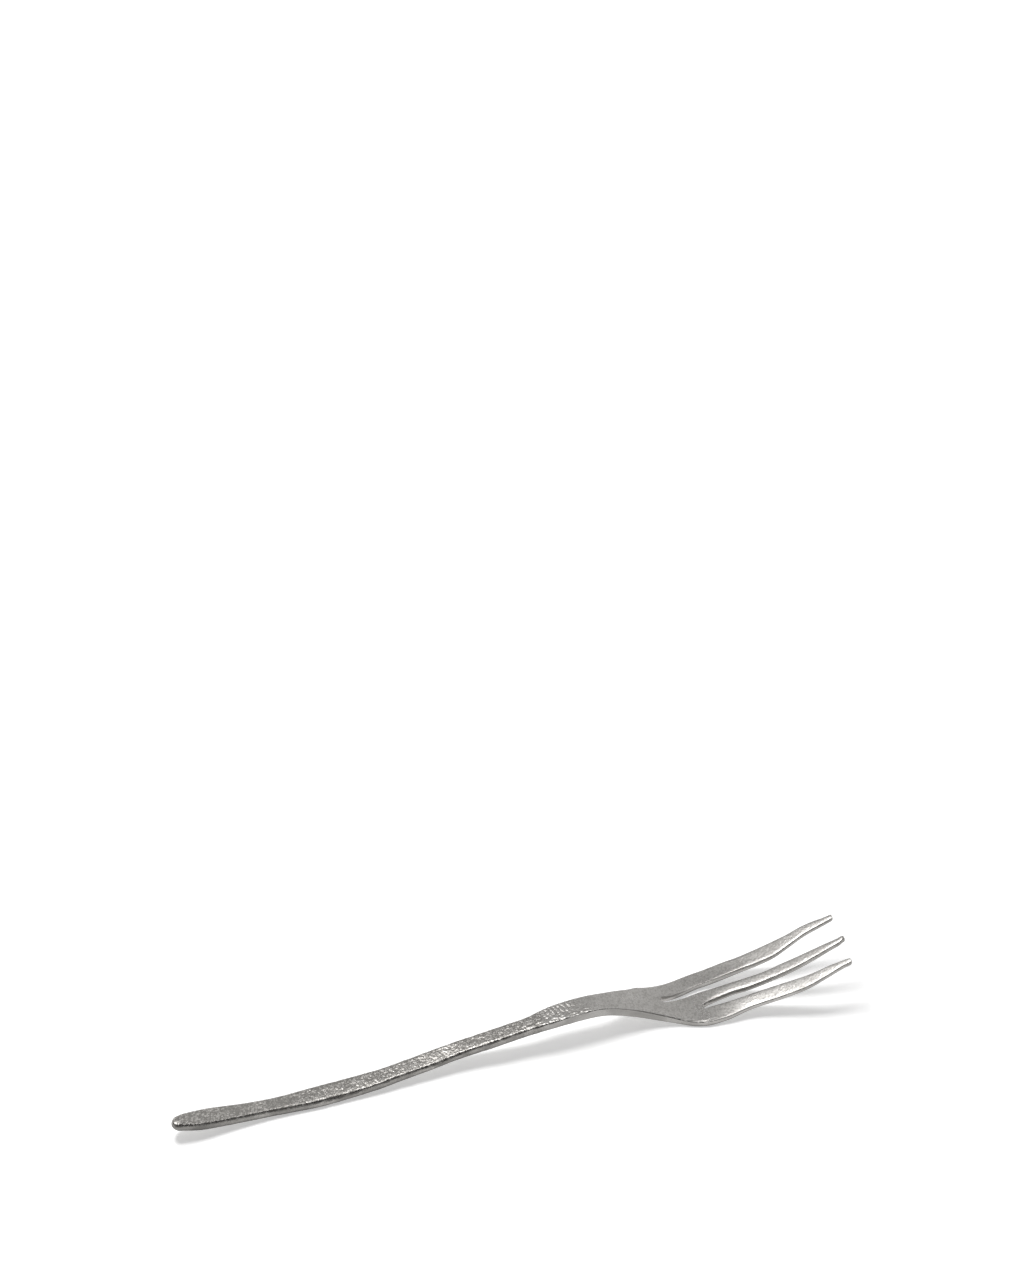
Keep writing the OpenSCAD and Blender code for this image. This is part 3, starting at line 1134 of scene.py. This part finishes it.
@dataclass(frozen=True)
class SteelGroups:
    """The shader groups that both finishes use: the fine grain, and the tones with their wear, their painted
    shade and their painted edge highlight.
    """

    fine_size: float = 0.4
    fine_draw: float = 2.0
    coarse_height: float = 0.5
    fine_height: float = 0.25
    patch_draw: float = 4.0
    patch_swing: tuple[float, float] = (-0.8, 0.8)
    # Relief values over which the painted shade in the hollows comes in.
    hollow: tuple[float, float] = (0.25, -0.55)
    # Depths in from the outline over which the edges are worn and painted lighter, partly as a painted
    # highlight.
    wear_highlight_ramp: tuple[float, float] = (0.5, 0.0)
    grain_dip: tuple[float, float] = (0.65, 0.25)
    base_shade: float = 0.12
    # How much lighter the worn edges are painted, partly as a painted highlight.
    wear_highlight_lift: float = 0.2
    patchy_side: float = 0.25
    rough_patch: float = 0.6
    rough_hollow: float = 0.4
    rough_worn: float = 0.2

    def grain(self) -> NodeTree:
        """Makes the group of the fine satin grain.

        Returns:
            A group that gives the height of small round lumps with a finer tooth on them.
        """
        group, given, result = node_group(
            "satin_grain", "ShaderNodeTree", {"Vector": PLACE, "Grain Size": FLOAT, "Seed": FLOAT},
            {"Height": FLOAT})
        place = given["Vector"].in_millimetres()
        coarse = place.noise(given["Grain Size"], given["Seed"], detail=1.0)
        fine = place.noise(given["Grain Size"] * self.fine_size, given["Seed"] + self.fine_draw, detail=1.0)
        plug(coarse * self.coarse_height + fine * self.fine_height + 0.5, result.inputs["Height"])
        return group

    def tone(self) -> NodeTree:
        """Makes the group of the metal's tones.

        Returns:
            A group that gives colour and roughness: cloudy patches, painted shade in the hollows and on the
                sides, and worn edges painted lighter, partly as a painted highlight.
        """
        values = ("Patch Size", "Hollow Shade", "Grain Shade", "Patch Shade", "Roughness Low",
                  "Roughness High", "Seed", "Grain", *map(titled, READ_BY_FINISH))
        group, given, result = node_group(
            "worn_tone", "ShaderNodeTree",
            {"Vector": PLACE, **dict.fromkeys(("Light", "Dark", "Side"), COLOUR),
             **dict.fromkeys(values, FLOAT)},
            {"Color": COLOUR, "Roughness": FLOAT})
        place = given["Vector"].in_millimetres()
        patch = place.noise(given["Patch Size"], given["Seed"] + self.patch_draw).between(*self.patch_swing)
        # Painted shade in the hollows of the relief, such as the pits, the hammer marks and the valleys of
        # the ripples.
        hollow = given["Relief"].between(*self.hollow) * given["Hollow Shade"]
        # Edges worn smoother and painted lighter, partly as a painted highlight along them.
        wear_and_highlight = given["Edge"].between(*self.wear_highlight_ramp)
        dips = given["Grain"].between(*self.grain_dip) * given["Grain Shade"]
        shade = patch * given["Patch Shade"] + hollow + dips + self.base_shade - wear_and_highlight * self.wear_highlight_lift
        face = mixed(shade.math("MAXIMUM", 0.0).math("MINIMUM", 1.0), given["Light"], given["Dark"])
        # Painted shade on the sides, a little patchy, mixed towards the side colour.
        side = given["Flank"] * (patch * self.patchy_side + (1.0 - self.patchy_side))
        plug(mixed(side, face, given["Side"]), result.inputs["Color"])
        low, high = given["Roughness Low"], given["Roughness High"]
        spread = patch * self.rough_patch + hollow * self.rough_hollow - wear_and_highlight * self.rough_worn
        plug(low + (high - low) * spread, result.inputs["Roughness"])
        return group


@dataclass(frozen=True)
class SteelFinish:
    """A satin steel: its tones, with the colour of the painted shade on its sides, its grain and how it
    takes the light.
    """

    slot: str
    light: tuple[float, float, float]
    grain_bump: float
    roughness_low: float
    roughness_high: float
    hollow_shade: float
    grain_shade: float
    patch_shade: float
    dark: tuple[float, float, float] = (0.33, 0.318, 0.3)
    # Colour of the painted shade on the sides.
    side: tuple[float, float, float] = (0.14, 0.135, 0.128)
    patch_size: float = 5.0
    grain_size: float = 0.32
    seed: float = 1.0

    def material(self, grain: NodeTree, tone: NodeTree) -> Material:
        """Makes the finish's material.

        Args:
            grain: The group of the fine grain.
            tone: The group of the tones and the wear.

        Returns:
            The material.
        """
        material = bpy.data.materials.new(self.slot)
        material.use_nodes = True
        tree = material.node_tree
        place = Wire.of(add(tree, "ShaderNodeTexCoord"), "Object")
        grained, toned = self.dressed(tree, grain, place), self.dressed(tree, tone, place)
        for name in READ_BY_FINISH:
            read = add(tree, "ShaderNodeAttribute", attribute_name=name)
            plug(Wire.of(read, "Fac"), toned.inputs[titled(name)])
        height = Wire.of(grained, "Height")
        plug(height, toned.inputs["Grain"])
        bump = add(tree, "ShaderNodeBump",
                   {"Strength": 1.0, "Height": height, "Distance": self.grain_bump * MM})
        shader = next(n for n in tree.nodes if n.type == "BSDF_PRINCIPLED")
        for name, value in (("Metallic", 1.0), ("Normal", Wire.of(bump)),
                            ("Base Color", Wire.of(toned, "Color")),
                            ("Roughness", Wire.of(toned, "Roughness"))):
            plug(value, shader.inputs[name])
        return material

    def dressed(self, tree: NodeTree, group: NodeTree, place: Wire) -> Node:
        """Places a group in a material with this finish's own values.

        Args:
            tree: The material's tree.
            group: The group.
            place: Where the group's patterns are read.

        Returns:
            The group's node.
        """
        node = add(tree, "ShaderNodeGroup", node_tree=group)
        plug(place, node.inputs["Vector"])
        for item in fields(self):
            value, slot = getattr(self, item.name), node.inputs.get(titled(item.name))
            if slot is not None:
                plug((*value, 1.0) if isinstance(value, tuple) else value, slot)
        return node


@dataclass
class Fork:
    """The whole fork: its regions, its blank, its forge and its finishes."""

    handle: Handle = field(default_factory=Handle)
    neck: Neck = field(default_factory=Neck)
    head: Head = field(default_factory=Head)
    middle_x: float = 80.0
    middle_y: float = -0.583
    groups: SteelGroups = SteelGroups()
    cast: SteelFinish = SteelFinish(
        slot="textured_steel", light=(0.75, 0.727, 0.696), grain_bump=0.02, roughness_low=0.25,
        roughness_high=0.37, hollow_shade=0.85, grain_shade=0.68, patch_shade=0.3)
    satin: SteelFinish = SteelFinish(
        slot="satin_steel", light=(0.605, 0.59, 0.57), grain_bump=0.012, roughness_low=0.26,
        roughness_high=0.36, hollow_shade=0.35, grain_shade=0.25, patch_shade=0.2)

    def tines(self) -> tuple[Tine, ...]:
        """Makes the three tines out of the widths that the slots leave.

        Returns:
            The tines, from right to left.
        """
        half = self.head.fan_width / 2
        right, left = (
            [slot.mouth_y + sign * slot.mouth_width / 2 for sign in (-1, 1)]
            for slot in (self.head.right_slot, self.head.left_slot))
        return (
            Tine(Region.RIGHT_TINE, -1, -half, right[0],
                 right_swell=((131, 0.0), (135.5, 0.5), (139, 0.4), (143, 0.0), (149, -0.45), (153, -0.2),
                              (156, 0.05), (158, 0.15)),
                 left_swell=((132, -0.15), (138, -0.1), (144, -0.15), (148, -0.3), (151, -0.3), (155, 0.1),
                             (158, 0.1)),
                 crowns=((122, 0.04), (160, 0.04)), crown_reach=1.0,
                 leans=((126, 0.0), (131, 0.12), (136, 0.24), (150, 0.24), (160, 0.12)), draft=0.1),
            Tine(Region.MIDDLE_TINE, 0, right[1], left[0],
                 right_swell=((131, 0.25), (134, 0.3), (137, -0.1), (143, -0.5), (148, -0.75), (153, -0.65),
                              (158, -0.4)),
                 left_swell=((133, -0.14), (137, -0.46), (142, -0.79), (146, -0.61), (150, -0.53),
                             (158, -0.3)),
                 crowns=((126, 0.02), (129, 0.16), (133, 0.16), (138, 0.1), (160, 0.09)), crown_reach=0.95,
                 leans=((126, 0.0), (131, 0.06), (160, 0.05)), draft=0.15, length=32.7),
            Tine(Region.LEFT_TINE, 1, left[1], half,
                 right_swell=((133.5, 0.045), (137.5, -0.17), (141, -0.59), (145, -0.93), (149, -0.45),
                              (153, 0.09), (158, 0.0)),
                 left_swell=((133.5, 0.15), (138, -0.1), (149, -0.12), (153, 0.28), (156, 0.2), (158, 0.0)),
                 crowns=((122, 0.02), (134, 0.05), (140, 0.085), (160, 0.09)), crown_reach=0.85,
                 leans=((122, 0.0), (126, -0.16), (134, -0.16), (140, 0.0), (146, 0.1), (156, 0.1),
                        (160, 0.06)),
                 draft=0.02, length=32.1,
                 rounds=((0, 0.08), (124, 0.09), (129, 0.1), (134, 0.22), (145, 0.28), (161, 0.25))),
        )

    def heights(self, tine: Tine) -> tuple[tuple[str, float, float, float], ...]:
        """Lists the knots of the side view.

        Args:
            tine: The tine whose tip ends it.

        Returns:
            Name, station, height and slope of each knot.
        """
        return (
            *((name, *knot) for name, knot in zip(("End", "Belly", "Slim"), self.handle.heights)),
            ("Crown", self.neck.crown, self.neck.crown_height, 0.0),
            ("Bowl", self.head.bowl, self.head.bowl_height, 0.0),
            ("Tip", tine.start + tine.length, tine.tip_height, tine.tip_slope),
        )

    def build(self) -> list[Object]:
        """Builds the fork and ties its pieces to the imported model.

        Returns:
            One piece for each region.
        """
        tines = self.tines()
        blank = Blank(self.handle, self.neck, self.head, tines)
        grain, tone = self.groups.grain(), self.groups.tone()
        finishes = {finish: finish.material(grain, tone) for finish in (self.cast, self.satin)}
        forge = Forge(self.heights(tines[0]), self.middle_x, self.middle_y)
        whole = forge.work(blank.build(), finishes[self.satin])
        pieces = []
        for region in ORDER:
            finish = self.cast if region is Region.HANDLE else self.satin
            piece = self.cut(whole, region)
            piece.data.materials.append(finishes[finish])
            pieces.append(piece)
        bpy.data.meshes.remove(whole)
        return pieces

    @staticmethod
    def cut(whole: Mesh, region: Region) -> Object:
        """Cuts one region out of the whole fork and closes its ends.

        Args:
            whole: The bent, worked fork.
            region: The region to cut out.

        Returns:
            The region's piece, which takes its shading from the whole, so that no seam shows.
        """
        verts = read_numbers(whole.vertices, "co", np.float32, 3)
        normals = read_numbers(whole.vertex_normals, "vector", np.float32, 3)
        corners = read_numbers(whole.loops, "vertex_index")
        starts, sizes = (read_numbers(whole.polygons, name) for name in ("loop_start", "loop_total"))
        mine = read_numbers(whole.attributes["region"].data, "value") == ORDER.index(region)
        groups = [corners[starts[mine & (sizes == n)][:, None] + np.arange(n)] for n in (4, 3)]
        used = np.unique(np.concatenate([g.ravel() for g in groups]))
        number = np.full(len(verts), -1)
        number[used] = np.arange(len(used))
        groups = [number[g] for g in groups]
        caps = [np.array([loop]) for loop in open_loops(groups)]
        mesh = plain_mesh(region.value, verts[used], groups + caps)
        shading = [normals[used][np.concatenate([g.ravel() for g in groups])]]
        for cap in caps:
            end = 1.0 if verts[used][cap[0], 0].mean() > verts[used][:, 0].mean() else -1.0
            shading.append(np.tile([end, 0.0, 0.0], (cap.size, 1)))
        mesh.normals_split_custom_set(np.concatenate(shading).tolist())
        for name in READ_BY_FINISH:
            values = read_numbers(whole.attributes[name].data, "value", np.float32)
            add_numbers(mesh, name, "FLOAT", "POINT", values[used])
        piece = placed(f"steel_{region.value}", mesh)
        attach(piece, "root")
        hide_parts(region.value)
        LOG.info("%s: %d faces, %d closed ends", piece.name, len(mesh.polygons), len(caps))
        return piece


def open_loops(groups: Sequence[Array]) -> list[list[int]]:
    """Finds the open ends of a shell.

    Args:
        groups: Arrays of faces, one row for each face.

    Returns:
        One loop of points for each open end, turned so that a face on it points outwards.
    """
    pairs = np.concatenate([np.stack([g, np.roll(g, -1, 1)], -1).reshape(-1, 2) for g in groups])
    there = set(map(tuple, pairs.tolist()))
    follow = {b: a for a, b in there if (b, a) not in there}
    loops = []
    while follow:
        start, point = follow.popitem()
        loop = [start]
        while point != start:
            loop.append(point)
            point = follow.pop(point)
        loops.append(loop)
    return loops


@dataclass(frozen=True)
class PanelLamp:
    """A round soft panel, high over the table, that shows in the metal and doesn't light the table."""

    name: str
    towards: tuple[float, float, float]
    power: float
    spread: float
    size: float = 2.67
    distance: float = 3.0

    def hang(self) -> Object:
        """Hangs the panel.

        Returns:
            The lamp, which faces the middle of the table.
        """
        data = bpy.data.lights.new(self.name, "AREA")
        data.shape = "DISK"
        data.size = self.size
        data.energy = self.power
        data.spread = math.radians(self.spread)
        lamp = placed(self.name, data)
        towards = Vector(self.towards).normalized()
        lamp.location = towards * self.distance
        lamp.rotation_euler = towards.to_track_quat("Z", "Y").to_euler()
        lamp.visible_diffuse = False
        return lamp


@dataclass(frozen=True)
class RoundLamp:
    """A round frosted lamp close over the table, which lights it evenly and throws the shadows."""

    name: str
    place: tuple[float, float, float]
    size: float
    power: float

    def hang(self) -> Object:
        """Hangs the lamp.

        Returns:
            The lamp, which doesn't show in the metal.
        """
        data = bpy.data.lights.new(self.name, "POINT")
        data.shadow_soft_size = self.size / 2
        data.energy = self.power
        data.use_nodes = True
        even = add(data.node_tree, "ShaderNodeLightFalloff", {"Strength": 1.0})
        glow = next(n for n in data.node_tree.nodes if n.type == "EMISSION")
        plug(Wire.of(even, "Constant"), glow.inputs["Strength"])
        lamp = placed(self.name, data)
        lamp.location = self.place
        lamp.visible_glossy = False
        return lamp


@dataclass
class Studio:
    """A plain white table under soft lamps, and the camera of the photograph.

    The room's zones are in shares of the way to its sides, its back and its ceiling.
    """

    table_size: float = 12.0
    table_drop: float = 0.00002
    table_tone: float = 0.8
    table_glow: float = 0.44
    room_front: float = 0.07
    room_back: Zone = Zone(((Read.DEPTH, -0.35, 0.4),), 0.63)
    room_ceiling: float = 0.3
    ceiling: Zone = Zone(((Read.HEIGHT, 0.72, 0.92), (Read.DEPTH, -0.1, 0.2)))
    dim_middle: Zone = Zone(((Read.ACROSS, 0.02, -0.1), (Read.ACROSS, -0.34, -0.2)), -0.18)
    windows: tuple[Zone, ...] = (
        Zone(((Read.ACROSS, -0.26, -0.5), (Read.DEPTH, 0.2, 0.5)), 0.68),
        Zone(((Read.ACROSS, 0.1, 0.5), (Read.DEPTH, 0.2, 0.5)), 0.2))
    dim_left: Zone = Zone(((Read.ACROSS, -0.45, -0.65),), -0.88)
    low_corners: Zone = Zone(((Read.ASIDE, 0.5, 0.75), (Read.HEIGHT, 0.65, 0.4)), 0.55)
    low_room: Zone = Zone(((Read.HEIGHT, 0.58, 0.38),), 0.45)
    front: Zone = Zone(((Read.DEPTH, -0.05, -0.35),))
    lamps: tuple[Union[RoundLamp, PanelLamp], ...] = (
        RoundLamp("shadow_lamp", (-0.081, 0.163, 0.36), size=0.152, power=34.5),
        PanelLamp("overhead_panel", (-0.30, 0.10, 0.95), power=7.3, spread=48.0),
        PanelLamp("edge_panel", (0.18, 0.2, 0.96), power=0.85, spread=29.0),
    )
    camera_place: tuple[float, float, float] = (-0.19391, -0.62882, 0.87572)
    camera_aim: tuple[float, float, float] = (0.037836, 0.121012, 0.0)
    camera_lens: float = 133.636
    camera_sensor: float = 36.0

    def build(self) -> None:
        """Sets up the table, the room, the lamps and the camera."""
        self.table()
        self.room()
        for lamp in self.lamps:
            lamp.hang()
        self.camera()
        bpy.context.scene.view_settings.view_transform = "Standard"

    @staticmethod
    def rays(tree: NodeTree) -> dict[Ray, Wire]:
        """Reads whether a ray is of each kind, as 1 or 0."""
        path = add(tree, "ShaderNodeLightPath")
        return {ray: Wire.of(path, ray.value) for ray in Ray}

    def table(self) -> None:
        """Lays the table top, which glows a little to the eye so that it is white and keeps its shadows."""
        half = self.table_size / 2
        corners = np.array([(x, y, -self.table_drop)
                            for x, y in ((-half, -half), (half, -half), (half, half), (-half, half))])
        table = placed("table_top", plain_mesh("table_top", corners, [np.array([[0, 1, 2, 3]])]))
        material = bpy.data.materials.new("white_table")
        material.use_nodes = True
        tree = material.node_tree
        tree.nodes.clear()
        camera, glossy, through = self.rays(tree).values()
        seen = camera.math("MAXIMUM", glossy).math("MAXIMUM", through)
        plain = add(tree, "ShaderNodeBsdfDiffuse", {"Color": (*[self.table_tone] * 3, 1.0)})
        glow = add(tree, "ShaderNodeEmission", {"Strength": seen * self.table_glow})
        both = add(tree, "ShaderNodeAddShader", {0: Wire.of(plain), 1: Wire.of(glow)})
        add(tree, "ShaderNodeOutputMaterial", {"Surface": Wire.of(both)})
        table.data.materials.append(material)

    def room(self) -> None:
        """Lights the room softly, brighter at the back than at the front, and shows it white to the camera.

        The low front is lit for the metal alone.
        """
        world = bpy.data.worlds.new("studio_room")
        bpy.context.scene.world = world
        world.use_nodes = True
        tree = world.node_tree
        tree.nodes.clear()
        across, depth, height = Wire.of(add(tree, "ShaderNodeTexCoord"), "Generated").parts()
        reads = {Read.ACROSS: across, Read.ASIDE: across.math("ABSOLUTE"),
                 Read.DEPTH: depth, Read.HEIGHT: height}
        rays = self.rays(tree)
        light = self.room_back.share(reads) + self.room_front
        light = light + (light * -1.0 + self.room_ceiling) * self.ceiling.share(reads)
        light = light * (self.dim_middle.share(reads) + 1.0)
        for window in self.windows:
            light = light + window.share(reads)
        light = light * (self.dim_left.share(reads) + 1.0)
        low = self.low_corners.share(reads).math("MAXIMUM", self.low_room.share(reads))
        light = light + rays[Ray.GLOSSY] * self.front.share(reads) * low
        light = light + rays[Ray.CAMERA] * (light * -1.0 + 1.0)
        glow = add(tree, "ShaderNodeBackground", {"Strength": light})
        add(tree, "ShaderNodeOutputWorld", {"Surface": Wire.of(glow)})

    def camera(self) -> None:
        """Puts the camera where the photograph was taken from."""
        data = bpy.data.cameras.new("camera")
        data.sensor_fit = "AUTO"
        data.sensor_width = self.camera_sensor
        data.lens = self.camera_lens
        camera = placed("camera", data)
        camera.location = self.camera_place
        back = Vector(self.camera_place) - Vector(self.camera_aim)
        camera.rotation_euler = back.to_track_quat("Z", "Y").to_euler()
        bpy.context.scene.camera = camera


def main() -> None:
    """Builds the studio and the fork, and reports each piece."""
    logging.basicConfig(level=logging.INFO, format="%(message)s")
    Studio().build()
    pieces = Fork().build()
    LOG.info("%d pieces", len(pieces))


if __name__ == "__main__":
    main()
